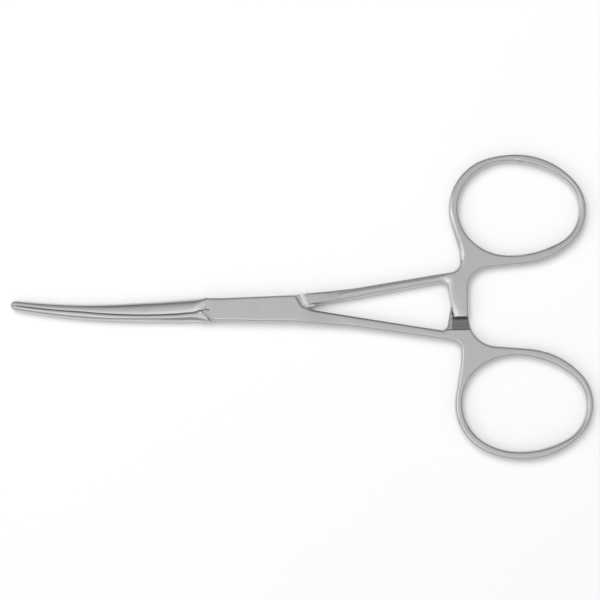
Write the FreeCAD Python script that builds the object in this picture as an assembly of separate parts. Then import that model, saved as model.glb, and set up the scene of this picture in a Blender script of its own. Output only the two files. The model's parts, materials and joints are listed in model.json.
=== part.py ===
"""Vascular clamp, 140 mm, box-lock pattern with finger rings and a ratchet.

Three pieces: the female half, whose box holds the other half, the male half,
whose tongue passes through the box, and the pivot pin riveted flush in the box.
The jaws point to -X, the rings to +X, and the clamp lies flat in XY, face up.
The origin is on the pivot axis, at the bottom face of the box.
The female half carries the upper jaw and the lower shank, the male half the
lower jaw and the upper shank. All sizes are in millimetres.
"""
import FreeCAD
import Part
import math
import os

Vector = FreeCAD.Vector

# Box lock
BOX_THICKNESS = 4.6
BOX_HALF_WIDTH_JAW_END = 2.71
BOX_HALF_WIDTH_RING_END = 3.26
BOX_JAW_END_X = -9.4
BOX_RING_END_X = 10.1
MORTISE_THICKNESS = 1.6
MORTISE_RADIUS = 8.5
TONGUE_RADIUS = 8.4
TONGUE_CLEARANCE = 0.04
TONGUE_INSET = 0.06
SEAM_HALF_GAP = 0.04
CHEEK_JAW_TIP = (-11.35, -0.56)
CHEEK_RING_CORNER = (11.55, 0.55)
CHEEK_RING_CORNER_RADIUS = 1.2
CHEEK_RADIUS = 0.8
RELIEF_X = -10.7
RELIEF_HALF_WIDTH = 0.3
RELIEF_RADIUS = 0.25
CROTCH = (14.2, 0.45)
CROTCH_RADIUS = 6.0
JAW_SHOULDER_GAP = 0.8
RING_SHOULDER_GAP = 0.25
RING_SHOULDER_RAMP = 1.4
SHOULDER_OUTER_Y = 3.6
SHOULDER_INNER_Y = 0.62
RAMP_SINK = 0.15
RAMP_HOLLOW = 0.35

# Pivot pin
PIN_DIAMETER = 2.2
PIN_RUNNING_CLEARANCE = 0.04

# Jaws: D sections along a seam that dips and then curves up to the tip
JAW_ROOT_X = -11.4
JAW_NOSE_X = -57.0
JAW_NOSE_LENGTH = 1.6
JAW_HALF_HEIGHT_ROOT = 2.84
JAW_HALF_HEIGHT_TIP = 1.15
JAW_WIDTH_ROOT = 4.0
JAW_WIDTH_TIP = 2.3
JAW_BLEND_LENGTH = 3.4
JAW_ROOT_SINK = 0.5
JAW_ROOT_SHRINK = 0.93
JAW_ROOT_STEP = 0.08
SEAM_DIP_X = -31.5
SEAM_DIP_Y = -0.46
SEAM_TIP_RADIUS = 165.0
SEAM_ROOT_RADIUS = 520.0
ROOT_SQUARENESS = 7.0
JAW_ROUNDNESS = 2.3
SECTION_STEPS = 5
BLEND_STEPS = 6
JAW_STEPS = 11
NOSE_STEPS = 6
NOSE_END_ANGLE = 84

# Toothed rows on the jaws' inner faces: one ridge above, a groove between two rows below
TOOTH_PITCH = 0.7
TOOTH_DEPTH = 0.28
ROW_WIDTH = 0.56
ROW_CLEARANCE = 0.06
RIDGE_HEIGHT = 0.32
GROOVE_DEPTH = 0.42
ROW_START_X = -17.0
ROW_TEETH = 56

# Shanks
SHANK_HIP = (14.5, 3.78)
SHANK_HIP_RADIUS = 30.0
SHANK_OUTER_BEND = (23.5, 4.5)
SHANK_INNER_BEND = (22.0, 1.8)
SHANK_BEND_RADIUS = 80.0
SHANK_OUTER_SLOPE = 0.155
SHANK_INNER_SLOPE = 0.1685
SHANK_THICKNESS = 3.3
RING_THICKNESS = 2.8
THINNING_START_X = 13.0
THINNING_END_X = 18.5
THINNING_RADIUS = 25.0
RING_FLAT_START_X = 47.0
RING_FLAT_RADIUS = 200.0
EDGE_RADIUS = 0.6
INNER_BEVEL_WIDTH = 1.4
INNER_BEVEL_DEPTH = 0.45

# Web between shank, ratchet arm and ring
NECK_X = 49.85
NECK_RADIUS = 2.6
WAIST = (49.7, 13.5)
WAIST_RADIUS = 5.0
WEB_CORNER_OF = {
    "male": {"y": 8.85, "radius": 5.0},
    "female": {"y": 9.15, "radius": 7.0},
}

# Ratchet arms
ARM_OUTER_X = 51.6
ARM_TIP_X = 47.9
ARM_ROOT_X = 46.3
ARM_ROOT_RADIUS = 1.3
ARM_REACH = 2.67
ARM_STEP_Y = 5.61
ARM_GAP = 0.06
RATCHET_PITCH = 1.47
RATCHET_DEPTH = 0.45
RATCHET_LEAD = 0.69
RATCHET_TEETH = 5

# Finger rings: the inner oval, and what the band adds to it for the outer oval, which is widest
# a little further on and may be tilted otherwise. Fullness is the end arc's share of the half height.
RING_OF = {
    "male": {"centre": (61.42, 23.41), "left": 12.06, "right": 17.15, "half_height": 11.29, "tilt": -2.4},
    "female": {"centre": (63.07, 23.59), "left": 13.22, "right": 16.78, "half_height": 11.55, "tilt": 4.4},
}
BAND_OF = {
    "male": {"shift": (2.16, -0.24), "left": 2.13, "right": 1.61, "side": 1.88, "tilt": -3.0},
    "female": {"shift": (1.41, 0.14), "left": 1.72, "right": 1.5, "side": 1.85, "tilt": 1.0},
}
RING_FULLNESS_LEFT = 0.95
RING_FULLNESS_RIGHT = 0.8

# Angles between which a ring's tangents from the waist and from the web are sought
WAIST_SEARCH = (150, 235)
WEB_SEARCH = (240, 300)
HALVINGS = 50

MID_Z = BOX_THICKNESS / 2
PAST = 1.0
BEYOND = 100.0
CLOSE = 0.01
SEAM_CURVE_POINTS = 9


def joined(edges):
    """Closed wire of edges that follow one another."""
    return Part.Wire(Part.__sortEdges__(edges))


def prism(wire, low, high):
    """Solid over a closed wire in the XY plane, between two heights."""
    face = Part.Face(wire)
    face.translate(Vector(0, 0, low))
    return face.extrude(Vector(0, 0, high - low))


def polygon(points):
    """Closed wire of straight lines through (x, y) points."""
    corners = [Vector(x, y, 0) for x, y in points]
    return Part.makePolygon(corners + corners[:1])


def rounded_path(corners):
    """Edges along corners (x, y, radius), rounded at each but the first and the last."""
    places = [Vector(x, y, 0) for x, y, _ in corners]
    edges = []
    start = places[0]
    for before, at, after, (_, _, radius) in zip(places, places[1:], places[2:], corners[1:]):
        if radius > 0:
            to_before = (before - at).normalize()
            to_after = (after - at).normalize()
            half_angle = to_before.getAngle(to_after) / 2
            reach = radius / math.tan(half_angle)
            depth = radius / math.sin(half_angle) - radius
            first = at + to_before * reach
            middle = at + (to_before + to_after).normalize() * depth
            last = at + to_after * reach
            edges.append(Part.makeLine(start, first))
            edges.append(Part.Arc(first, middle, last).toShape())
            start = last
        else:
            edges.append(Part.makeLine(start, at))
            start = at
    edges.append(Part.makeLine(start, places[-1]))
    return edges


def turned_over(shape):
    """The shape turned half a turn about the instrument's long axis."""
    turned = shape.copy()
    turned.rotate(Vector(0, 0, MID_Z), Vector(1, 0, 0), 180)
    return turned


def line_at(first, second, y):
    """X where the line through two points crosses a height y."""
    return first[0] + (second[0] - first[0]) * (y - first[1]) / (second[1] - first[1])


def offset_line(first, second, distance):
    """The two points of a line, moved square to it; positive is to the left of its direction."""
    length = math.hypot(second[0] - first[0], second[1] - first[1])
    across = (-(second[1] - first[1]) / length * distance, (second[0] - first[0]) / length * distance)
    return [(x + across[0], y + across[1]) for x, y in (first, second)]


def is_wall(face):
    """True for an upright face."""
    low_u, high_u, low_v, high_v = face.ParameterRange
    return abs(face.normalAt((low_u + high_u) / 2, (low_v + high_v) / 2).z) < CLOSE


def rim_edges(solid, wanted):
    """Edges between the upright walls and the top or bottom, where wanted(middle) is true."""
    walls = [edge for face in solid.Faces if is_wall(face) for edge in face.Edges]
    found = []
    for face in solid.Faces:
        if is_wall(face):
            continue
        for edge in face.Edges:
            middle = edge.valueAt((edge.FirstParameter + edge.LastParameter) / 2)
            if wanted(middle) and any(edge.isSame(wall) for wall in walls):
                found.append(edge)
    return found


class Oval:
    """Oval of circular arcs: a tight arc at each end, between wide ones above and below."""

    def __init__(self, centre, left, right, half_height, tilt):
        self.centre = Vector(*centre, 0)
        self.half_height = half_height
        self.tilt = tilt
        self.left_arcs = self.end_arcs(left, half_height * RING_FULLNESS_LEFT)
        self.right_arcs = self.end_arcs(right, half_height * RING_FULLNESS_RIGHT)

    def end_arcs(self, reach, tight):
        """Reach of an end, its tight radius, the wide radius beside it, and the angle where the two meet."""
        high = self.half_height
        wide = ((reach - tight) ** 2 + high**2 - tight**2) / (2 * (high - tight))
        return reach, tight, wide, math.degrees(math.atan2(wide - high, reach - tight))

    def point(self, angle, on_arc_of=None):
        """Place with a given angle of the outward normal before the tilt; another angle may name the arc."""
        arc = math.radians(angle if on_arc_of is None else on_arc_of)
        reach, tight, wide, meeting = self.left_arcs if math.cos(arc) < 0 else self.right_arcs
        if abs(math.sin(arc)) > math.sin(math.radians(meeting)):
            centre = Vector(0, math.copysign(wide - self.half_height, -math.sin(arc)), 0)
            radius = wide
        else:
            centre = Vector(math.copysign(reach - tight, math.cos(arc)), 0, 0)
            radius = tight
        turn = math.radians(angle)
        place = centre + Vector(math.cos(turn), math.sin(turn), 0) * radius
        return self.centre + FreeCAD.Rotation(Vector(0, 0, 1), self.tilt).multVec(place)

    def arcs(self, first, last):
        """Edges from one angle up to another, split where the arcs meet."""
        right = self.right_arcs[3]
        left = 180 - self.left_arcs[3]
        meetings = [-left, -90, -right, right, 90, left, 360 - left, 270]
        stops = [first] + sorted(stop for stop in meetings if first < stop < last) + [last]
        edges = []
        for start, end in zip(stops, stops[1:]):
            middle = (start + end) / 2
            edges.append(Part.Arc(*[self.point(angle, middle) for angle in (start, middle, end)]).toShape())
        return edges

    def touch_angle(self, x, y, low, high):
        """Angle between low and high where a line from an outside point touches the oval."""

        def side(angle):
            here = self.point(angle)
            turn = math.radians(angle + self.tilt)
            return math.cos(turn) * (x - here.x) + math.sin(turn) * (y - here.y)

        sign = side(low)
        for _ in range(HALVINGS):
            middle = (low + high) / 2
            if side(middle) * sign > 0:
                low = middle
            else:
                high = middle
        return (low + high) / 2


def ring_ovals(half):
    """Inner and outer oval of one half's finger ring, drawn above the X axis."""
    ring = RING_OF[half]
    band = BAND_OF[half]
    inner = Oval(**ring)
    outer = Oval(
        (ring["centre"][0] + band["shift"][0], ring["centre"][1] + band["shift"][1]),
        ring["left"] + band["left"] + band["shift"][0],
        ring["right"] + band["right"] - band["shift"][0],
        ring["half_height"] + band["side"],
        band["tilt"],
    )
    return inner, outer


def box_half_width(x):
    """Half the width of the closed box lock at a station."""
    share = (x - BOX_JAW_END_X) / (BOX_RING_END_X - BOX_JAW_END_X)
    return BOX_HALF_WIDTH_JAW_END + share * (BOX_HALF_WIDTH_RING_END - BOX_HALF_WIDTH_JAW_END)


def shank_outer_y(x):
    """Outer edge of the shank beyond its bend."""
    return SHANK_OUTER_BEND[1] + SHANK_OUTER_SLOPE * (x - SHANK_OUTER_BEND[0])


def shank_inner_y(x):
    """Inner edge of the shank beyond its bend."""
    return SHANK_INNER_BEND[1] + SHANK_INNER_SLOPE * (x - SHANK_INNER_BEND[0])


def seam_y(x):
    """Line where the closed jaws meet."""
    radius = SEAM_TIP_RADIUS if x < SEAM_DIP_X else SEAM_ROOT_RADIUS
    return SEAM_DIP_Y + (x - SEAM_DIP_X) ** 2 / (2 * radius)


def seam_slope(x):
    """Slope of that line."""
    radius = SEAM_TIP_RADIUS if x < SEAM_DIP_X else SEAM_ROOT_RADIUS
    return (x - SEAM_DIP_X) / radius


def cheek_ring_end():
    """Two points of the cheeks' oblique end by the male shank, from the outside in."""
    return [(BOX_RING_END_X, box_half_width(BOX_RING_END_X)), CHEEK_RING_CORNER]


def cheek_jaw_end():
    """Two points of the cheeks' oblique end by the male jaw, from the outside in."""
    return [(BOX_JAW_END_X, -box_half_width(BOX_JAW_END_X)), CHEEK_JAW_TIP]


def ring_shoulder():
    """Outer and inner end of the male shank's shoulder, parallel to the cheeks' end."""
    shoulder = offset_line(*cheek_ring_end(), RING_SHOULDER_GAP + RING_SHOULDER_RAMP)
    return [(line_at(*shoulder, y), y) for y in (SHOULDER_OUTER_Y, SHOULDER_INNER_Y)]


def handle_edges(half, outer_lead, inner_tail):
    """Outline of shank, web, arm and ring above the X axis, between given corners at its root."""
    outer = ring_ovals(half)[1]
    web = WEB_CORNER_OF[half]
    left = outer.touch_angle(*WAIST, *WAIST_SEARCH)
    right = outer.touch_angle(ARM_OUTER_X, web["y"], *WEB_SEARCH)
    left_touch = outer.point(left)
    right_touch = outer.point(right)
    neck = rounded_path(outer_lead + [
        SHANK_HIP + (SHANK_HIP_RADIUS,),
        SHANK_OUTER_BEND + (SHANK_BEND_RADIUS,),
        (NECK_X, shank_outer_y(NECK_X), NECK_RADIUS),
        WAIST + (WAIST_RADIUS,),
        (left_touch.x, left_touch.y, 0),
    ])
    arm = rounded_path([
        (right_touch.x, right_touch.y, 0),
        (ARM_OUTER_X, web["y"], web["radius"]),
        (ARM_OUTER_X, -ARM_REACH, 0),
        (ARM_TIP_X, -ARM_REACH, 0),
        (ARM_ROOT_X, shank_inner_y(ARM_ROOT_X), ARM_ROOT_RADIUS),
        SHANK_INNER_BEND + (SHANK_BEND_RADIUS,),
    ] + inner_tail)
    return neck + outer.arcs(right - 360, left) + arm


def side_slab():
    """The clamp's side view as one slab: flat over the box, then thinning to the shanks and the rings."""
    box = BOX_THICKNESS / 2
    shank = SHANK_THICKNESS / 2
    ring = RING_THICKNESS / 2
    edges = []
    for side in (1, -1):
        edges += rounded_path([
            (-BEYOND, MID_Z + side * box, 0),
            (THINNING_START_X, MID_Z + side * box, THINNING_RADIUS),
            (THINNING_END_X, MID_Z + side * shank, THINNING_RADIUS),
            (RING_FLAT_START_X, MID_Z + side * ring, RING_FLAT_RADIUS),
            (BEYOND, MID_Z + side * ring, 0),
        ])
    for x, half in ((-BEYOND, box), (BEYOND, ring)):
        edges.append(Part.makeLine(Vector(x, MID_Z + half, 0), Vector(x, MID_Z - half, 0)))
    side_view = Part.Face(joined(edges))
    side_view.rotate(Vector(0, 0, 0), Vector(1, 0, 0), 90)
    side_view.translate(Vector(0, BEYOND, 0))
    return side_view.extrude(Vector(0, -2 * BEYOND, 0))


def forged(edges, half, stays_sharp):
    """Blank of one half: its outline brought to thickness, with rounded edges, and the hole of its ring."""
    blank = prism(joined(edges), 0, BOX_THICKNESS).common(side_slab()).Solids[0]
    blank = blank.makeFillet(EDGE_RADIUS, rim_edges(blank, lambda middle: not stays_sharp(middle)))
    hole = joined(ring_ovals(half)[0].arcs(-90, 270))
    blank = blank.cut(prism(hole, -PAST, BOX_THICKNESS + PAST))

    def on_hole(middle):
        return Part.Vertex(middle.x, middle.y, 0).distToShape(hole)[0] < CLOSE

    return blank.makeFillet(EDGE_RADIUS, rim_edges(blank, on_hole))


def inner_bevel(half, outer_root, inner_root):
    """What a bevel takes off the upper edge along the inside of the shank and its arm."""
    edges = handle_edges(half, [outer_root + (0,)], [inner_root + (0,)])
    edges.append(Part.makeLine(Vector(*inner_root, 0), Vector(*outer_root, 0)))
    plain = prism(joined(edges), 0, BOX_THICKNESS).common(side_slab()).Solids[0]

    def inside(middle):
        beside_shank = middle.x < ARM_ROOT_X and middle.y < shank_outer_y(middle.x) - 2 * EDGE_RADIUS
        beside_arm = middle.x < ARM_TIP_X + EDGE_RADIUS and middle.y < shank_inner_y(middle.x)
        return middle.z > MID_Z and middle.x > inner_root[0] and (beside_shank or beside_arm)

    return plain.cut(plain.makeChamfer(INNER_BEVEL_DEPTH, INNER_BEVEL_WIDTH, rim_edges(plain, inside)))


def ratchet_cut():
    """What is cut from a forged arm: everything under its step, and the gaps between its teeth."""
    split = MID_Z + ARM_GAP / 2
    width = ARM_OUTER_X - ARM_ROOT_X + 2 * PAST
    corner = Vector(ARM_ROOT_X - PAST, -ARM_REACH - PAST, -PAST)
    cut = Part.makeBox(width, ARM_REACH + PAST + ARM_STEP_Y, split + PAST, corner)
    for count in range(RATCHET_TEETH):
        catch = -ARM_REACH + RATCHET_LEAD + count * RATCHET_PITCH
        tooth_gap = [
            Vector(corner.x, catch, split - RATCHET_DEPTH),
            Vector(corner.x, catch, split + RATCHET_DEPTH),
            Vector(corner.x, catch + RATCHET_PITCH, split),
            Vector(corner.x, catch + RATCHET_PITCH, split - RATCHET_DEPTH),
        ]
        face = Part.Face(Part.makePolygon(tooth_gap + tooth_gap[:1]))
        cut = cut.fuse(face.extrude(Vector(width, 0, 0)))
    return cut


def jaw_section(x, side, shrink=1.0, ahead=0.0):
    """Closed D section of a jaw, square to the seam; side is 1 for the upper jaw."""
    share = (JAW_ROOT_X - x) / (JAW_ROOT_X - JAW_NOSE_X)
    blend = max(0.0, 1 - (JAW_ROOT_X - x) / JAW_BLEND_LENGTH) ** 2
    power = JAW_ROUNDNESS + (ROOT_SQUARENESS - JAW_ROUNDNESS) * blend
    height = JAW_HALF_HEIGHT_ROOT + share * (JAW_HALF_HEIGHT_TIP - JAW_HALF_HEIGHT_ROOT)
    half_width = (JAW_WIDTH_ROOT + share * (JAW_WIDTH_TIP - JAW_WIDTH_ROOT)) / 2
    half_width += blend * (BOX_THICKNESS / 2 - JAW_ROOT_STEP - half_width)
    slope = math.atan(seam_slope(x))
    across = Vector(-math.sin(slope), math.cos(slope), 0) * side
    base = Vector(x, seam_y(x), MID_Z) + across * SEAM_HALF_GAP
    base -= Vector(math.cos(slope), math.sin(slope), 0) * ahead
    back = []
    for step in range(-SECTION_STEPS, SECTION_STEPS + 1):
        turn = math.pi / 2 * step / SECTION_STEPS
        out = abs(math.cos(turn)) ** (2 / power) if abs(step) < SECTION_STEPS else 0.0
        wide = math.copysign(abs(math.sin(turn)) ** (2 / power), turn)
        back.append(base + across * (height * shrink * out) + Vector(0, 0, half_width * shrink * wide))
    curve = Part.BSplineCurve()
    curve.interpolate(back)
    return Part.Wire([curve.toShape(), Part.makeLine(back[-1], back[0])])


def jaw_body(side):
    """One jaw without its teeth, from the box to the rounded nose."""
    length = JAW_ROOT_X - JAW_NOSE_X
    sections = [jaw_section(JAW_ROOT_X, side, JAW_ROOT_SHRINK, -JAW_ROOT_SINK)]
    for step in range(BLEND_STEPS):
        sections.append(jaw_section(JAW_ROOT_X - JAW_BLEND_LENGTH * step / BLEND_STEPS, side))
    for step in range(JAW_STEPS + 1):
        share = step / JAW_STEPS
        x = JAW_ROOT_X - JAW_BLEND_LENGTH - (length - JAW_BLEND_LENGTH) * share
        sections.append(jaw_section(x, side))
    for step in range(1, NOSE_STEPS + 1):
        angle = math.radians(NOSE_END_ANGLE * step / NOSE_STEPS)
        sections.append(jaw_section(JAW_NOSE_X, side, math.cos(angle), JAW_NOSE_LENGTH * math.sin(angle)))
    return Part.makeLoft(sections, True, True)


def seam_curve(offset, first_x, last_x):
    """Curve beside the seam between two stations; a positive offset lies above it."""
    points = []
    for step in range(SEAM_CURVE_POINTS):
        x = first_x + (last_x - first_x) * step / (SEAM_CURVE_POINTS - 1)
        points.append(Vector(x, seam_y(x) + offset, 0))
    curve = Part.BSplineCurve()
    curve.interpolate(points)
    return curve.toShape()


def tooth_line(peak, valley):
    """Zigzag beside the seam as points, with its peaks and valleys at the given offsets."""
    points = []
    for count in range(ROW_TEETH):
        x = ROW_START_X - count * TOOTH_PITCH
        points.append(Vector(x, seam_y(x) + peak, 0))
        x -= TOOTH_PITCH / 2
        points.append(Vector(x, seam_y(x) + valley, 0))
    end = ROW_START_X - ROW_TEETH * TOOTH_PITCH
    points.append(Vector(end, seam_y(end) + peak, 0))
    return points


def row_prism(points, closing, low, high):
    """Solid of a row of teeth: a zigzag closed by edges, between two heights."""
    edges = Part.makePolygon(points).Edges + closing
    return prism(joined(edges), low, high)


def upper_jaw():
    """Upper jaw with the ridge of fine teeth along the middle of its inner face."""
    tips = tooth_line(SEAM_HALF_GAP - RIDGE_HEIGHT, SEAM_HALF_GAP - RIDGE_HEIGHT + TOOTH_DEPTH)
    inside = SEAM_HALF_GAP + RIDGE_HEIGHT
    first_top = Vector(tips[0].x, seam_y(tips[0].x) + inside, 0)
    last_top = Vector(tips[-1].x, seam_y(tips[-1].x) + inside, 0)
    closing = [
        Part.makeLine(tips[-1], last_top),
        seam_curve(inside, last_top.x, first_top.x),
        Part.makeLine(first_top, tips[0]),
    ]
    ridge = row_prism(tips, closing, MID_Z - ROW_WIDTH / 2, MID_Z + ROW_WIDTH / 2)
    return jaw_body(1).fuse(ridge)


def lower_jaw():
    """Lower jaw with a groove for the ridge, and a row of fine teeth on each side of it."""
    above = SEAM_HALF_GAP + JAW_HALF_HEIGHT_ROOT
    first_x = ROW_START_X + ROW_CLEARANCE + TOOTH_PITCH
    last_x = ROW_START_X - ROW_TEETH * TOOTH_PITCH - ROW_CLEARANCE - TOOTH_PITCH / 2
    ends = [Vector(x, seam_y(x) - SEAM_HALF_GAP - GROOVE_DEPTH, 0) for x in (first_x, last_x)]
    tops = [Vector(x, above, 0) for x in (first_x, last_x)]
    groove_half = ROW_WIDTH / 2 + ROW_CLEARANCE
    groove_edges = [
        seam_curve(-SEAM_HALF_GAP - GROOVE_DEPTH, first_x, last_x),
        Part.makeLine(ends[1], tops[1]),
        Part.makeLine(tops[1], tops[0]),
        Part.makeLine(tops[0], ends[0]),
    ]
    cut = prism(joined(groove_edges), MID_Z - groove_half, MID_Z + groove_half)
    notches = tooth_line(-SEAM_HALF_GAP, -SEAM_HALF_GAP - TOOTH_DEPTH)
    tops = [Vector(notches[0].x, above, 0), Vector(notches[-1].x, above, 0)]
    closing = [
        Part.makeLine(notches[-1], tops[1]),
        Part.makeLine(tops[1], tops[0]),
        Part.makeLine(tops[0], notches[0]),
    ]
    for low in (MID_Z + groove_half, MID_Z - groove_half - ROW_WIDTH):
        cut = cut.fuse(row_prism(notches, closing, low, low + ROW_WIDTH))
    return jaw_body(-1).cut(cut)


def passage(disc_radius, seam_shift, side_shift, low, high):
    """The tongue's room between the cheeks; negative shifts give the tongue itself."""
    jaw_x = JAW_ROOT_X - BOX_HALF_WIDTH_JAW_END / 2
    ring_x = SHANK_HIP[0]
    jaw_side = polygon([
        (0, seam_shift),
        (-disc_radius, seam_shift),
        (jaw_x, seam_y(jaw_x) + seam_shift),
        (jaw_x, -box_half_width(BOX_JAW_END_X) - side_shift),
        (BOX_JAW_END_X, -box_half_width(BOX_JAW_END_X) - side_shift),
        (0, -box_half_width(0) - side_shift),
    ])
    ring_side = polygon([
        (0, -seam_shift),
        (ring_x, -seam_shift),
        (ring_x, SHANK_HIP[1] + side_shift),
        (BOX_RING_END_X, box_half_width(BOX_RING_END_X) + side_shift),
        (0, box_half_width(0) + side_shift),
    ])
    bar = polygon([
        (-disc_radius, -box_half_width(-disc_radius) - side_shift),
        (disc_radius, -box_half_width(disc_radius) - side_shift),
        (disc_radius, box_half_width(disc_radius) + side_shift),
        (-disc_radius, box_half_width(-disc_radius) + side_shift),
    ])
    disc = Part.makeCylinder(disc_radius, high - low, Vector(0, 0, low))
    middle = prism(bar, low, high).common(disc)
    return middle.fuse([prism(jaw_side, low, high), prism(ring_side, low, high)]).removeSplitter()


def mortise():
    """Slot between the cheeks of the female half, open to both sides of the box."""
    low = MID_Z - MORTISE_THICKNESS / 2
    return passage(MORTISE_RADIUS, SEAM_HALF_GAP, PAST + SHANK_HIP[1], low, low + MORTISE_THICKNESS)


def tongue():
    """Thin middle of the male half, which turns between the cheeks."""
    low = MID_Z - MORTISE_THICKNESS / 2 + TONGUE_CLEARANCE
    high = MID_Z + MORTISE_THICKNESS / 2 - TONGUE_CLEARANCE
    plate = passage(TONGUE_RADIUS, -SEAM_HALF_GAP, -TONGUE_INSET, low, high)
    crotch = polygon([
        (CHEEK_RING_CORNER[0], 0),
        (SHANK_HIP[0] + PAST, 0),
        (SHANK_HIP[0] + PAST, shank_inner_y(SHANK_HIP[0] + PAST)),
    ])
    return plate.cut(prism(crotch, low, high))


def shoulder_ramps():
    """Hollow ramps, one above and one below, from the tongue up to the shank's full thickness."""
    outer_root, inner_root = ring_shoulder()
    along = Vector(inner_root[0] - outer_root[0], inner_root[1] - outer_root[1], 0)
    toward = Vector(along.y, -along.x, 0).normalize() * RING_SHOULDER_RAMP
    low = MID_Z + MORTISE_THICKNESS / 2 - TONGUE_CLEARANCE - RAMP_SINK
    high = BOX_THICKNESS - RAMP_SINK
    top = Vector(*outer_root, high)
    toe = Vector(*outer_root, low) + toward
    hollow = Vector(*outer_root, low + RAMP_HOLLOW * (high - low)) + toward * RAMP_HOLLOW
    foot = Vector(*outer_root, low)
    edges = [Part.Arc(top, hollow, toe).toShape(), Part.makeLine(toe, foot), Part.makeLine(foot, top)]
    ramp = Part.Face(Part.Wire(edges)).extrude(along)
    clear_y = CHEEK_RING_CORNER[1] + 2 * RING_SHOULDER_GAP
    plan = polygon([
        inner_root,
        (CHEEK_RING_CORNER[0], clear_y),
        (BOX_RING_END_X, clear_y),
        (BOX_RING_END_X, box_half_width(BOX_RING_END_X) - TONGUE_INSET),
        (SHANK_HIP[0], SHANK_HIP[1] - TONGUE_INSET),
    ])
    ramp = ramp.common(prism(plan, 0, BOX_THICKNESS))
    return [ramp, ramp.mirror(Vector(0, 0, MID_Z), Vector(0, 0, 1))]


def female_half():
    """Box with its cheeks, upper jaw, lower shank, lower ratchet arm and lower ring."""
    jaw_root_y = seam_y(JAW_ROOT_X) + SEAM_HALF_GAP + JAW_HALF_HEIGHT_ROOT + JAW_ROOT_STEP
    ring_end = (BOX_RING_END_X, box_half_width(BOX_RING_END_X))
    jaw_end = (BOX_JAW_END_X, box_half_width(BOX_JAW_END_X))
    seam_root = -seam_y(JAW_ROOT_X) - SEAM_HALF_GAP
    cheek_tip = (CHEEK_JAW_TIP[0], -CHEEK_JAW_TIP[1])
    inner_tail = [
        (CROTCH[0], CROTCH[1], CROTCH_RADIUS),
        (CHEEK_RING_CORNER[0], -CHEEK_RING_CORNER[1], CHEEK_RING_CORNER_RADIUS),
        (ring_end[0], -ring_end[1], CHEEK_RADIUS),
        (jaw_end[0], -jaw_end[1], SHANK_BEND_RADIUS / 2),
        (JAW_ROOT_X, -jaw_root_y, 0),
        (JAW_ROOT_X, seam_root, 0),
        (RELIEF_X, -RELIEF_HALF_WIDTH, RELIEF_RADIUS),
        (RELIEF_X, RELIEF_HALF_WIDTH, RELIEF_RADIUS),
        cheek_tip + (0,),
        jaw_end + (0,),
    ]
    edges = handle_edges("female", [jaw_end + (0,), ring_end + (SHANK_BEND_RADIUS / 2,)], inner_tail)
    blank = forged(edges, "female", lambda middle: middle.x < BOX_JAW_END_X)
    blank = blank.cut(inner_bevel("female", ring_shoulder()[0], CROTCH)).cut(ratchet_cut())
    half = turned_over(blank)
    half = half.fuse(upper_jaw()).cut(mortise())
    pin_hole = Part.makeCylinder(PIN_DIAMETER / 2, BOX_THICKNESS + 2 * PAST, Vector(0, 0, -PAST))
    return half.cut(pin_hole)


def male_half():
    """Tongue, lower jaw, upper shank, upper ratchet arm and upper ring."""
    outer_root, inner_root = ring_shoulder()
    edges = handle_edges("male", [outer_root + (0,)], [inner_root + (0,)])
    edges.append(Part.makeLine(Vector(*inner_root, 0), Vector(*outer_root, 0)))

    def on_shoulder(middle):
        return abs(middle.x - line_at(outer_root, inner_root, middle.y)) < CLOSE

    handle = forged(edges, "male", on_shoulder)
    handle = handle.cut(inner_bevel("male", outer_root, inner_root)).cut(ratchet_cut())
    root_y = -seam_y(JAW_ROOT_X) + SEAM_HALF_GAP + JAW_HALF_HEIGHT_ROOT + JAW_ROOT_STEP
    root = prism(polygon([
        (JAW_ROOT_X, seam_y(JAW_ROOT_X) - SEAM_HALF_GAP),
        (BOX_JAW_END_X, -SEAM_HALF_GAP),
        (BOX_JAW_END_X + PAST, -box_half_width(BOX_JAW_END_X)),
        (JAW_ROOT_X, -root_y),
    ]), 0, BOX_THICKNESS)
    side_y = -box_half_width(JAW_ROOT_X)
    root = root.makeFillet(EDGE_RADIUS, rim_edges(root, lambda middle: middle.y < side_y))
    cheek_line = offset_line(*cheek_jaw_end(), JAW_SHOULDER_GAP)
    far_y = -JAW_HALF_HEIGHT_ROOT - 2 * PAST
    cheek_room = polygon([
        (line_at(*cheek_line, far_y), far_y),
        (line_at(*cheek_line, PAST), PAST),
        (0, PAST),
        (0, far_y),
    ])
    jaw = root.fuse(lower_jaw())
    tongue_top = MID_Z + MORTISE_THICKNESS / 2 - TONGUE_CLEARANCE
    tongue_bottom = 2 * MID_Z - tongue_top
    jaw = jaw.cut(prism(cheek_room, tongue_top, BOX_THICKNESS + PAST))
    jaw = jaw.cut(prism(cheek_room, -PAST, tongue_bottom))
    half = handle.fuse([jaw, tongue()] + shoulder_ramps()).removeSplitter()
    bore = Part.makeCylinder(PIN_DIAMETER / 2 + PIN_RUNNING_CLEARANCE, BOX_THICKNESS, Vector(0, 0, 0))
    return half.cut(bore)


def pivot_pin():
    """Pin through the box, ground flush with both cheeks."""
    return Part.makeCylinder(PIN_DIAMETER / 2, BOX_THICKNESS)


def main():
    """Write every piece as a STEP file of its own."""
    os.makedirs("parts", exist_ok=True)
    for name, build in (("female_half", female_half), ("male_half", male_half), ("pivot_pin", pivot_pin)):
        shape = build()
        print(name, "valid", shape.isValid(), "solids", len(shape.Solids), "volume", round(shape.Volume, 1))
        shape.exportStep(f"parts/{name}.step")


if __name__ == "__main__":
    main()
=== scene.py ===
"""Vascular clamp in satin steel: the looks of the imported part, with its floor, light and camera.

Everything is in metres, in the part's own frame: the jaws point to -X, the rings to +X, and +Z is up out of
the box lock's face. The clamp lies on the lower side of its box.
"""

import json
import logging
import math
from dataclasses import dataclass, field
from enum import Enum
from typing import Any, Iterable, Sequence

import bmesh
import bpy
from mathutils import Euler, Matrix, Vector

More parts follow.
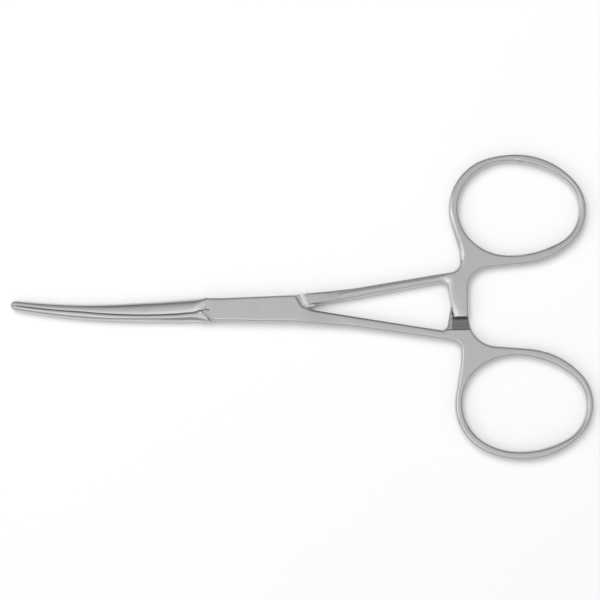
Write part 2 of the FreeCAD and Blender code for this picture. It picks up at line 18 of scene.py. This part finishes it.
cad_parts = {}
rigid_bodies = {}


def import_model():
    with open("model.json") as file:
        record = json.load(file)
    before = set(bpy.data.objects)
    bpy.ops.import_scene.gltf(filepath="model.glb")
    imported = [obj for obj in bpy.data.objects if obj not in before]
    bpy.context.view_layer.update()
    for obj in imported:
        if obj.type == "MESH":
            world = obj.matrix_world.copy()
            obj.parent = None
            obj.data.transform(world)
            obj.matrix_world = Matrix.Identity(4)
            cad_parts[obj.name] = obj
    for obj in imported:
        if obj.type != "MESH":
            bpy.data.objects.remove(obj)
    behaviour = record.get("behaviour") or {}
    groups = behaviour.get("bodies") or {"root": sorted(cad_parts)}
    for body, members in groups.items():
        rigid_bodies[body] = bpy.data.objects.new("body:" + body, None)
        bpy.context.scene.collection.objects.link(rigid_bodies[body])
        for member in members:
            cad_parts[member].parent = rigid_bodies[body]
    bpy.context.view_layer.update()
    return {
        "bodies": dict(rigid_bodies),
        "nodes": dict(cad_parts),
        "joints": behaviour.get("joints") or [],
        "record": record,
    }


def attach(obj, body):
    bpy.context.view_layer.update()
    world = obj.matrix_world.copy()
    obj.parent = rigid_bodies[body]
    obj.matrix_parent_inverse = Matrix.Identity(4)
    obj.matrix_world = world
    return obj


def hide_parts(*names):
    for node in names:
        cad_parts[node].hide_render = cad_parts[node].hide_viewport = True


log = logging.getLogger("clamp")

MM = 0.001
UP = (0.0, 0.0, 1.0)

# Where a colour ramp's new stops start, between Blender's own two.
MIDWAY = 0.5

# The Mix node's sockets by place, because their names repeat for each kind of data.
MIX_FACTOR = 0
VECTOR_A, VECTOR_B, VECTOR_RESULT = 4, 5, 1
COLOUR_A, COLOUR_B, COLOUR_RESULT = 6, 7, 2


class Op(Enum):
    """Operations of the Math node that the materials use."""

    ADD = "ADD"
    SUBTRACT = "SUBTRACT"
    MULTIPLY = "MULTIPLY"
    LESS_THAN = "LESS_THAN"
    GREATER_THAN = "GREATER_THAN"


class Value:
    """A shader socket that carries a number, on which Python's operators add Math nodes."""

    def __init__(self, shader: "Shader", socket: bpy.types.NodeSocket) -> None:
        """Keep the socket and the tree that it is in.

        Args:
            shader: Tree that new nodes go to.
            socket: Output socket that holds the number.
        """
        self.shader = shader
        self.socket = socket

    def maths(self, operation: Op, first: Any, second: Any) -> "Value":
        """Add one Math node.

        Args:
            operation: What the node does.
            first: Number or Value of its first socket.
            second: Number or Value of its second socket.

        Returns:
            The node's result.
        """
        return self.shader.value("ShaderNodeMath", {"operation": operation.value}, {0: first, 1: second}, 0)

    def __add__(self, other: Any) -> "Value":
        """This plus other."""
        return self.maths(Op.ADD, self, other)

    def __radd__(self, other: Any) -> "Value":
        """Other plus this."""
        return self.maths(Op.ADD, other, self)

    def __sub__(self, other: Any) -> "Value":
        """This minus other."""
        return self.maths(Op.SUBTRACT, self, other)

    def __rsub__(self, other: Any) -> "Value":
        """Other minus this."""
        return self.maths(Op.SUBTRACT, other, self)

    def __mul__(self, other: Any) -> "Value":
        """This times other."""
        return self.maths(Op.MULTIPLY, self, other)

    def __rmul__(self, other: Any) -> "Value":
        """Other times this."""
        return self.maths(Op.MULTIPLY, other, self)

    def above(self, low: float) -> "Value":
        """1 where this is more than a number, else 0."""
        return self.maths(Op.GREATER_THAN, self, low)

    def below(self, high: float) -> "Value":
        """1 where this is less than a number, else 0."""
        return self.maths(Op.LESS_THAN, self, high)

    def between(self, low: float, high: float) -> "Value":
        """1 where this lies between two numbers, else 0."""
        return self.above(low) * self.below(high)


class Shader:
    """A material's or world's node tree, started empty."""

    def __init__(self, tree: bpy.types.NodeTree) -> None:
        """Empty the tree.

        Args:
            tree: Node tree of a material or world.
        """
        self.tree = tree
        self.tree.nodes.clear()

    def node(self, kind: str, settings: dict[str, Any], inputs: dict[Any, Any], output: Any = None) -> Any:
        """Add a node, its settings first, then its sockets.

        Args:
            kind: Node type.
            settings: Properties of the node; "stops" gives a ramp's (place, colour) pairs.
            inputs: Number, tuple, Value or output socket for each input, by name or place.
            output: Name or place of the output wanted.

        Returns:
            The output socket asked for, or the node where none is.
        """
        made = self.tree.nodes.new(kind)
        for name, value in settings.items():
            if name == "stops":
                self.set_stops(made.color_ramp, value)
            else:
                setattr(made, name, value)
        for key, value in inputs.items():
            socket = made.inputs[key]
            if isinstance(value, Value):
                value = value.socket
            if isinstance(value, bpy.types.NodeSocket):
                self.tree.links.new(value, socket)
            else:
                socket.default_value = value
        return made if output is None else made.outputs[output]

    @staticmethod
    def set_stops(ramp: bpy.types.ColorRamp, stops: list[tuple[float, tuple[float, float, float]]]) -> None:
        """Give a colour ramp its stops.

        Args:
            ramp: Ramp with Blender's own two stops.
            stops: Place and colour of each stop, in order.
        """
        while len(ramp.elements) < len(stops):
            ramp.elements.new(MIDWAY)
        for element, (place, colour) in zip(ramp.elements, stops):
            element.position = place
            element.color = (*colour, 1.0)

    def value(self, kind: str, settings: dict[str, Any], inputs: dict[Any, Any], output: Any) -> Value:
        """Add a node as node() does, and wrap the output asked for."""
        return Value(self, self.node(kind, settings, inputs, output))

    def noise(self, place: bpy.types.NodeSocket, scale: float, detail: float) -> Value:
        """Add a Noise Texture and wrap its first output, which runs from 0 to 1."""
        return self.value("ShaderNodeTexNoise", {}, {"Vector": place, "Scale": scale, "Detail": detail}, 0)


@dataclass(frozen=True)
class SatinSteel:
    """Stainless steel with a fine satin finish, drawn along the instrument, its edges softened by polishing.

    Where the male half leaves the box, the shoulder and its toe are rougher, their normal turned straight
    up, and their colour made paler as a painted highlight; the ratchet's colour is made darker as painted
    shade.
    """

    name: str
    colour: tuple[float, float, float] = (0.585, 0.592, 0.582)
    roughness: float = 0.3
    roughness_spread: float = 0.08
    grain_scale: float = 9000.0
    grain_detail: float = 2.0
    grain_height: float = 1.5e-6
    draw_scale: tuple[float, float, float] = (350.0, 5000.0, 5000.0)
    draw_detail: float = 3.0
    draw_height: float = 1.2e-6
    mottle_scale: float = 160.0
    mottle_detail: float = 3.0
    mottle_depth: float = 0.06
    edge_samples: int = 8
    box_ends_x: tuple[float, float] = (-12.5 * MM, 14.0 * MM)
    pin_surround_y: float = 1.9 * MM
    pin_edge: float = 0.03 * MM
    box_edge: float = 0.3 * MM
    jaw_edge: float = 0.5 * MM
    handle_edge: float = 0.45 * MM
    shoulder_slant: float = 0.32
    # The boxes below mark the shoulder and its toe. Their colour is made paler there as a painted highlight;
    # they are also rougher, with the normal turned straight up.
    toe_highlight_low: tuple[float, float, float] = (12.3 * MM, 0.1 * MM, 1.2 * MM)
    toe_highlight_high: tuple[float, float, float] = (14.9 * MM, 0.9 * MM, 4.5 * MM)
    shoulder_highlight_low: tuple[float, float, float] = (12.1 * MM, 0.9 * MM, 1.2 * MM)
    shoulder_highlight_high: tuple[float, float, float] = (13.65 * MM, 5.6 * MM, 4.5 * MM)
    shoulder_painted_highlight: float = 1.65
    shoulder_roughness: float = 0.35
    # The box below marks the ratchet. Its colour is made darker there as painted shade, the shade that falls
    # on the teeth under the male arm.
    painted_shade_low: tuple[float, float, float] = (47.7 * MM, -5.62 * MM, 1.6 * MM)
    painted_shade_high: tuple[float, float, float] = (51.8 * MM, 5.62 * MM, 3.0 * MM)
    ratchet_painted_shade: float = 0.5

    def inside(self, place: Iterable[Value], low: Iterable[float], high: Iterable[float]) -> Value:
        """Mark a box of Object coordinates.

        Args:
            place: The three coordinates.
            low: The box's low corner, in metres.
            high: Its high corner.

        Returns:
            1 inside the box, else 0.
        """
        x, y, z = (value.between(least, most) for value, least, most in zip(place, low, high))
        return x * y * z

    def edge_radius(self, x: Value, y: Value) -> Value:
        """Work out how widely the edges look rounded.

        Args:
            x: Object coordinate along the clamp.
            y: Object coordinate across it.

        Returns:
            The radius: least round the flush pin, more on the rest of the box, most on the jaws and handles.
        """
        on_jaws = x.below(self.box_ends_x[0])
        on_handles = x.above(self.box_ends_x[1])
        on_box = (1 - on_jaws) * (1 - on_handles)
        on_pin = y.between(-self.pin_surround_y, self.pin_surround_y) * on_box
        return (
            on_pin * self.pin_edge
            + (1 - on_pin) * on_box * self.box_edge
            + on_jaws * self.jaw_edge
            + on_handles * self.handle_edge
        )

    def material(self) -> bpy.types.Material:
        """Build the finish.

        Returns:
            A material that reads Object coordinates.
        """
        material = bpy.data.materials.new(self.name)
        material.use_nodes = True
        shader = Shader(material.node_tree)
        place = shader.node("ShaderNodeTexCoord", {}, {}, "Object")
        drawn = shader.node("ShaderNodeMapping", {}, {"Vector": place, "Scale": self.draw_scale}, 0)
        mottle = shader.noise(place, self.mottle_scale, self.mottle_detail)
        grain = shader.noise(place, self.grain_scale, self.grain_detail)
        lines = shader.noise(drawn, 1.0, self.draw_detail)
        parts = shader.node("ShaderNodeSeparateXYZ", {}, {0: place})
        x, y, z = (Value(shader, output) for output in parts.outputs)

        # Masks for the painted highlight on the shoulder and its toe, and for the painted shade on the
        # ratchet.
        on_toe_highlight = self.inside((x, y, z), self.toe_highlight_low, self.toe_highlight_high)
        slanted = (x + y * self.shoulder_slant, y, z)
        on_painted_highlight = on_toe_highlight + self.inside(slanted, self.shoulder_highlight_low, self.shoulder_highlight_high)
        on_painted_shade = self.inside((x, y, z), self.painted_shade_low, self.painted_shade_high)

        radius = self.edge_radius(x, y)
        soft_edge = shader.node("ShaderNodeBevel", {"samples": self.edge_samples}, {"Radius": radius}, 0)
        height = grain * self.grain_height + lines * self.draw_height
        relief = {"Strength": 1.0, "Distance": 1.0, "Height": height, "Normal": soft_edge}
        worn = shader.node("ShaderNodeBump", {}, relief, 0)
        normals = {MIX_FACTOR: on_painted_highlight, VECTOR_A: worn, VECTOR_B: UP}
        normal = shader.node("ShaderNodeMix", {"data_type": "VECTOR"}, normals, VECTOR_RESULT)

        # Colour is made paler on the shoulder as a painted highlight and darker on the ratchet as painted
        # shade.
        painted_light = (on_painted_highlight * (self.shoulder_painted_highlight - 1) + 1) * (on_painted_shade * (self.ratchet_painted_shade - 1) + 1)
        shade = (mottle * self.mottle_depth + (1 - self.mottle_depth / 2)) * painted_light
        grey = shader.node("ShaderNodeCombineColor", {}, {"Red": shade, "Green": shade, "Blue": shade}, 0)
        multiply = {"data_type": "RGBA", "blend_type": "MULTIPLY"}
        tones = {MIX_FACTOR: 1.0, COLOUR_A: (*self.colour, 1.0), COLOUR_B: grey}
        colour = shader.node("ShaderNodeMix", multiply, tones, COLOUR_RESULT)
        roughness = (
            self.roughness
            + (mottle + lines - 1) * self.roughness_spread
            + on_painted_highlight * self.shoulder_roughness
        )
        inputs = {"Base Color": colour, "Metallic": 1.0, "Roughness": roughness, "Normal": normal}
        steel = shader.node("ShaderNodeBsdfPrincipled", {}, inputs, 0)
        shader.node("ShaderNodeOutputMaterial", {}, {"Surface": steel})
        return material


class Finish(Enum):
    """Finishes by the record's material slot."""

    STEEL = "steel"
    PIN_STEEL = "pin_steel"


@dataclass(frozen=True)
class EdgeBevel:
    """A sloping bevel ground along an upper edge, given by the points of that edge and its width at each.

    The points run with the metal on their left, seen from above.
    """

    edge: tuple[tuple[float, float], ...]
    widths: tuple[float, ...]
    tops: tuple[float, ...]
    slope: float
    margin: float = 0.5 * MM

    def normals(self) -> list[Vector]:
        """Unit vectors from the edge into the metal, at each point of the edge.

        Returns:
            One vector for each point, in the XY plane.
        """
        points = [Vector(place) for place in self.edge]
        along = [(after - before).normalized() for before, after in zip(points, points[1:])]
        turns = [(first + second).normalized() for first, second in zip(along, along[1:])]
        return [Vector((-way.y, way.x)) for way in (along[0], *turns, along[-1])]

    def cutter(self) -> bpy.types.Mesh:
        """Make the wedge that the bevel takes off.

        Returns:
            A closed mesh of one triangle swept along the edge.
        """
        work = bmesh.new()
        sections = []
        for place, inward, width, top in zip(self.edge, self.normals(), self.widths, self.tops):
            inner = Vector(place) + inward * (width + self.margin)
            outer = Vector(place) - inward * self.margin
            high = top + self.margin * self.slope
            low = top - (width + self.margin) * self.slope
            corners = [(*inner, high), (*outer, low), (*outer, high)]
            sections.append([work.verts.new(corner) for corner in corners])
        for first, second in zip(sections, sections[1:]):
            for index in range(len(first)):
                after = (index + 1) % len(first)
                work.faces.new((first[index], first[after], second[after], second[index]))
        work.faces.new(sections[0])
        work.faces.new(sections[-1])
        bmesh.ops.recalc_face_normals(work, faces=work.faces)
        bmesh.ops.triangulate(work, faces=work.faces)
        mesh = bpy.data.meshes.new("bevel")
        work.to_mesh(mesh)
        work.free()
        return mesh

    def cut(self, piece: bpy.types.Object) -> None:
        """Take the bevel off a piece.

        Args:
            piece: Object whose mesh is cut.
        """
        tool = bpy.data.objects.new("bevel", self.cutter())
        bpy.context.scene.collection.objects.link(tool)
        grind = piece.modifiers.new("bevel", "BOOLEAN")
        grind.operation = "DIFFERENCE"
        grind.solver = "EXACT"
        grind.object = tool
        evaluated = piece.evaluated_get(bpy.context.evaluated_depsgraph_get())
        whole = piece.data
        piece.data = bpy.data.meshes.new_from_object(evaluated)
        piece.modifiers.clear()
        bpy.data.meshes.remove(whole)
        wedge = tool.data
        bpy.data.objects.remove(tool)
        bpy.data.meshes.remove(wedge)


@dataclass(frozen=True)
class MaleHandle:
    """Sizes of the male half's upper face, for the three bevels that the solid lacks."""

    shank_start: tuple[float, float] = (19.0 * MM, 1.41 * MM)
    shank_bend: tuple[float, float] = (22.0 * MM, 1.8 * MM)
    shank_slope: float = 0.1685
    arm_root_x: float = 46.3 * MM
    arm_root_radius: float = 1.3 * MM
    arm_tip: tuple[float, float] = (47.9 * MM, -2.9 * MM)
    shank_top: float = 3.95 * MM
    shank_top_x: float = 18.5 * MM
    ring_top: float = 3.7 * MM
    ring_top_x: float = 47.0 * MM
    inner_width: float = 1.4 * MM
    inner_slope: float = 0.32
    neck_edge: tuple[tuple[float, float], ...] = (
        (47.6 * MM, 24.0 * MM),
        (47.75 * MM, 20.5 * MM),
        (48.3 * MM, 18.0 * MM),
        (49.4 * MM, 14.6 * MM),
        (49.8 * MM, 12.8 * MM),
        (49.87 * MM, 11.0 * MM),
        (49.8 * MM, 9.8 * MM),
        (49.3 * MM, 8.9 * MM),
    )
    neck_widths: tuple[float, ...] = (
        0.0,
        0.6 * MM,
        0.75 * MM,
        0.85 * MM,
        0.9 * MM,
        0.65 * MM,
        0.25 * MM,
        0.0,
    )
    neck_slope: float = 0.6
    outer_edge: tuple[tuple[float, float], ...] = (
        (47.0 * MM, 8.15 * MM),
        (45.5 * MM, 7.98 * MM),
        (43.5 * MM, 7.65 * MM),
        (35.2 * MM, 6.36 * MM),
        (23.5 * MM, 4.55 * MM),
        (20.7 * MM, 4.2 * MM),
        (17.4 * MM, 3.78 * MM),
    )
    outer_widths: tuple[float, ...] = (0.0, 0.9 * MM, 1.15 * MM, 1.0 * MM, 1.0 * MM, 1.0 * MM, 0.0)
    outer_slope: float = 0.37
    corner_steps: int = 6

    def top(self, x: float) -> float:
        """Height of the upper face at a station."""
        share = (x - self.shank_top_x) / (self.ring_top_x - self.shank_top_x)
        return self.shank_top + min(max(share, 0.0), 1.0) * (self.ring_top - self.shank_top)

    def inner_edge(self) -> list[tuple[float, float]]:
        """Points of the inner edge, from the shank's start round the arm's root to its tip.

        Returns:
            Places in XY, with the metal on their left.
        """
        bend_x, bend_y = self.shank_bend
        root = Vector((self.arm_root_x, bend_y + self.shank_slope * (self.arm_root_x - bend_x)))
        to_tip = (Vector(self.arm_tip) - root).normalized()
        to_bend = (Vector(self.shank_bend) - root).normalized()
        half_angle = to_tip.angle(to_bend) / 2
        centre = root + (to_tip + to_bend).normalized() * self.arm_root_radius / math.sin(half_angle)
        first = root + to_tip * self.arm_root_radius / math.tan(half_angle) - centre
        turn = math.pi - 2 * half_angle
        corner = []
        for step in range(self.corner_steps + 1):
            spoke = first.copy()
            spoke.rotate(Matrix.Rotation(turn * step / self.corner_steps, 2))
            corner.append(tuple(centre + spoke))
        return [self.shank_start, self.shank_bend, *corner[::-1], self.arm_tip]

    def bevel(self, edge: Sequence[tuple[float, float]], widths: Sequence[float], slope: float) -> EdgeBevel:
        """A bevel along an edge of the upper face."""
        return EdgeBevel(tuple(edge), tuple(widths), tuple(self.top(x) for x, _ in edge), slope)

    def bevels(self) -> list[EdgeBevel]:
        """Lay out the bevels inside the shank and arm, outside the neck and outside the shank.

        Returns:
            All three bevels.
        """
        inner = self.inner_edge()
        return [
            self.bevel(inner, (0.0, *(self.inner_width,) * (len(inner) - 1)), self.inner_slope),
            self.bevel(self.neck_edge, self.neck_widths, self.neck_slope),
            self.bevel(self.outer_edge, self.outer_widths, self.outer_slope),
        ]


@dataclass(frozen=True)
class JawForm:
    """How the jaws differ from their solids: the seam lies nearer to -Y in the middle, and they fall to it.

    The solids' seam is two arcs that meet at the dip. Points within the reach of it move with it, and those
    within the fall's width of it sink towards the jaw's middle height.
    """

    fall: float = 0.13
    fall_width: float = 1.3 * MM
    dip: tuple[float, float] = (-31.5 * MM, -0.46 * MM)
    tip_radius: float = 165.0 * MM
    root_radius: float = 520.0 * MM
    root_x: float = -12.8 * MM
    middle_z: float = 2.3 * MM
    reach: float = 1.9 * MM
    shifts: tuple[tuple[float, float], ...] = (
        (-60.0 * MM, 0.0),
        (-42.0 * MM, 0.0),
        (-35.0 * MM, 0.36 * MM),
        (-28.4 * MM, 0.66 * MM),
        (-21.7 * MM, 0.75 * MM),
        (-16.6 * MM, 0.68 * MM),
        (-14.0 * MM, 0.4 * MM),
        (-12.8 * MM, 0.0),
    )

    def seam(self, x: float) -> float:
        """Where the solids' seam lies at a station, in Y."""
        radius = self.tip_radius if x < self.dip[0] else self.root_radius
        return self.dip[1] + (x - self.dip[0]) ** 2 / (2 * radius)

    def shift(self, x: float) -> float:
        """Work out how far the seam moves towards -Y.

        Args:
            x: Station along the jaws.

        Returns:
            The distance, between the values at the stations on either side.
        """
        for (first, before), (last, after) in zip(self.shifts, self.shifts[1:]):
            if first <= x <= last:
                return before + (after - before) * (x - first) / (last - first)
        return 0.0

    def shape(self, mesh: bpy.types.Mesh) -> None:
        """Move the jaw's points.

        Args:
            mesh: Mesh that is changed.
        """
        for vertex in mesh.vertices:
            x, y, z = vertex.co
            if x > self.root_x:
                continue
            beside = abs(y - self.seam(x))
            fallen = self.fall * max(0.0, 1 - beside / self.fall_width)
            vertex.co.y = y - self.shift(x) * max(0.0, 1 - beside / self.reach)
            vertex.co.z = self.middle_z + (z - self.middle_z) * (1 - fallen)


@dataclass
class SteelPiece:
    """One CAD solid, shown by a merged copy that is shaped further, shaded smoothly and finished."""

    node: str
    body: str
    finish: Finish
    jaw: JawForm | None = None
    bevels: list[EdgeBevel] = field(default_factory=list)
    weld_distance: float = 0.001 * MM
    crease_angle: float = math.radians(28)
    face_weight: int = 50

    def welded(self, mesh: bpy.types.Mesh) -> None:
        """Merge a mesh's loose triangles, and mark its creases.

        Args:
            mesh: Mesh that is changed.
        """
        work = bmesh.new()
        work.from_mesh(mesh)
        bmesh.ops.remove_doubles(work, verts=work.verts, dist=self.weld_distance)
        bmesh.ops.dissolve_degenerate(work, dist=self.weld_distance, edges=work.edges)
        work.normal_update()
        for face in work.faces:
            face.smooth = True
        for edge in work.edges:
            edge.smooth = edge.calc_face_angle(0.0) < self.crease_angle
        work.to_mesh(mesh)
        work.free()

    def weigh_normals(self, piece: bpy.types.Object) -> None:
        """Let large faces rule the shading, so that flats stay flat beside their rounded edges.

        Args:
            piece: Object whose mesh gets the normals.
        """
        weigh = piece.modifiers.new("flat faces", "WEIGHTED_NORMAL")
        weigh.keep_sharp = True
        weigh.weight = self.face_weight
        evaluated = piece.evaluated_get(bpy.context.evaluated_depsgraph_get())
        rough = piece.data
        piece.data = bpy.data.meshes.new_from_object(evaluated)
        piece.modifiers.clear()
        bpy.data.meshes.remove(rough)
        piece.data.name = piece.name

    def build(self, frame: dict[str, Any], material: bpy.types.Material) -> bpy.types.Object:
        """Make the piece, dress it and put it on its body.

        Args:
            material: Finish of the piece.

        Returns:
            The finished object.
        """
        mesh = frame["nodes"][self.node].data.copy()
        self.welded(mesh)
        if self.jaw:
            self.jaw.shape(mesh)
        piece = bpy.data.objects.new(self.node + "_steel", mesh)
        bpy.context.scene.collection.objects.link(piece)
        for bevel in self.bevels:
            bevel.cut(piece)
        self.welded(piece.data)
        self.weigh_normals(piece)
        piece.data.materials.clear()
        piece.data.materials.append(material)
        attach(piece, self.body)
        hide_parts(self.node)
        return piece


@dataclass
class Lamp:
    """One soft rectangular studio lamp that points at the clamp."""

    name: str
    place: tuple[float, float, float]
    size: tuple[float, float]
    power: float
    in_reflections: bool = True

    def build(self, target: Vector) -> None:
        """Add the lamp.

        Args:
            target: Point that it faces.
        """
        light = bpy.data.lights.new(self.name, "AREA")
        light.shape = "RECTANGLE"
        light.size, light.size_y = self.size
        light.energy = self.power
        lamp = bpy.data.objects.new(self.name, light)
        lamp.location = self.place
        lamp.visible_glossy = self.in_reflections
        lamp.rotation_euler = (target - Vector(self.place)).to_track_quat("-Z", "Y").to_euler()
        bpy.context.scene.collection.objects.link(lamp)


@dataclass
class Studio:
    """White floor, a light tent and the camera straight above the clamp."""

    centre: tuple[float, float] = (11.1 * MM, 2.0 * MM)
    mid_height: float = 2.3 * MM
    view_width: float = 144.5 * MM
    lens: float = 120.0
    near_clip: float = 0.01
    roll: float = math.radians(-0.745)
    floor_colour: tuple[float, float, float] = (0.72, 0.72, 0.72)
    floor_glow: float = 0.07
    floor_size: float = 4.0
    tent_by_height: tuple[tuple[float, float], ...] = (
        (0.0, 0.20),
        (0.3, 0.36),
        (0.6, 0.55),
        (0.72, 0.68),
        (0.82, 0.93),
        (1.0, 0.96),
    )
    tent_loss_right: float = 0.05
    tent_loss_far: float = 0.38
    lamps: tuple[Lamp, ...] = (
        Lamp("shadow_lamp", (-0.15, 0.3, 1.0), (0.55, 0.55), 8.0, in_reflections=False),
        Lamp("left_lamp", (-0.7, 0.0, 0.75), (0.5, 0.5), 1.4),
        Lamp("near_lamp", (-0.13, -0.34, 0.94), (0.2, 0.3), 0.3),
    )

    def floor(self) -> None:
        """Lay the floor, whose glow for the camera and for reflections makes it white behind its shadow."""
        work = bmesh.new()
        bmesh.ops.create_grid(work, x_segments=1, y_segments=1, size=self.floor_size / 2)
        mesh = bpy.data.meshes.new("floor")
        work.to_mesh(mesh)
        work.free()
        floor = bpy.data.objects.new("floor", mesh)
        bpy.context.scene.collection.objects.link(floor)
        material = bpy.data.materials.new("white_floor")
        material.use_nodes = True
        shader = Shader(material.node_tree)
        path = shader.node("ShaderNodeLightPath", {}, {})
        rays = ("Is Camera Ray", "Is Glossy Ray", "Is Transmission Ray")
        camera, glossy, transmission = (Value(shader, path.outputs[ray]) for ray in rays)
        seen = camera + glossy + transmission
        glow = shader.node("ShaderNodeEmission", {}, {"Strength": seen * self.floor_glow}, 0)
        matt = shader.node("ShaderNodeBsdfDiffuse", {}, {"Color": (*self.floor_colour, 1.0)}, 0)
        surface = shader.node("ShaderNodeAddShader", {}, {0: matt, 1: glow}, 0)
        shader.node("ShaderNodeOutputMaterial", {}, {"Surface": surface})
        mesh.materials.append(material)

    def sky(self) -> None:
        """Make the light tent: brightest overhead, dim at the horizon, dimmer on the far and right sides."""
        world = bpy.data.worlds.new("light_tent")
        bpy.context.scene.world = world
        world.use_nodes = True
        shader = Shader(world.node_tree)
        direction = shader.node("ShaderNodeTexCoord", {}, {}, "Generated")
        parts = shader.node("ShaderNodeSeparateXYZ", {}, {0: direction})
        right, far, height = (Value(shader, parts.outputs[axis]) for axis in ("X", "Y", "Z"))
        stops = [(place, (grey,) * 3) for place, grey in self.tent_by_height]
        overhead = shader.value("ShaderNodeValToRGB", {"stops": stops}, {0: height}, 0)
        strength = overhead * (1 - right * self.tent_loss_right - far * self.tent_loss_far)
        tent = shader.node("ShaderNodeBackground", {}, {"Strength": strength}, 0)
        shader.node("ShaderNodeOutputWorld", {}, {"Surface": tent})

    def camera(self) -> None:
        """Set the camera straight above, at the photograph's framing."""
        data = bpy.data.cameras.new("camera")
        data.lens = self.lens
        data.clip_start = self.near_clip
        camera = bpy.data.objects.new("camera", data)
        distance = self.view_width * self.lens / data.sensor_width
        camera.location = (*self.centre, self.mid_height + distance)
        camera.rotation_euler = Euler((0, 0, self.roll))
        bpy.context.scene.collection.objects.link(camera)
        bpy.context.scene.camera = camera

    def build(self) -> None:
        """Make the whole studio."""
        self.floor()
        self.sky()
        for lamp in self.lamps:
            lamp.build(Vector((*self.centre, self.mid_height)))
        self.camera()
        bpy.context.scene.view_settings.view_transform = "Standard"


def main() -> None:
    """Build the clamp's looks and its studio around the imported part."""
    logging.basicConfig(level=logging.INFO, format="%(name)s: %(message)s")
    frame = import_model()
    finishes = {
        Finish.STEEL: SatinSteel("satin_steel"),
        Finish.PIN_STEEL: SatinSteel("pin_steel", roughness=0.24),
    }
    materials = {finish: steel.material() for finish, steel in finishes.items()}
    pieces = [
        SteelPiece("female_half", "female", Finish.STEEL, JawForm()),
        SteelPiece("male_half", "male", Finish.STEEL, JawForm(fall_width=1.1 * MM), MaleHandle().bevels()),
        SteelPiece("pivot_pin", "female", Finish.PIN_STEEL),
    ]
    for piece in pieces:
        made = piece.build(frame, materials[piece.finish])
        log.info("%s on %s: %d faces", made.name, piece.body, len(made.data.polygons))
    Studio().build()


if __name__ == "__main__":
    main()
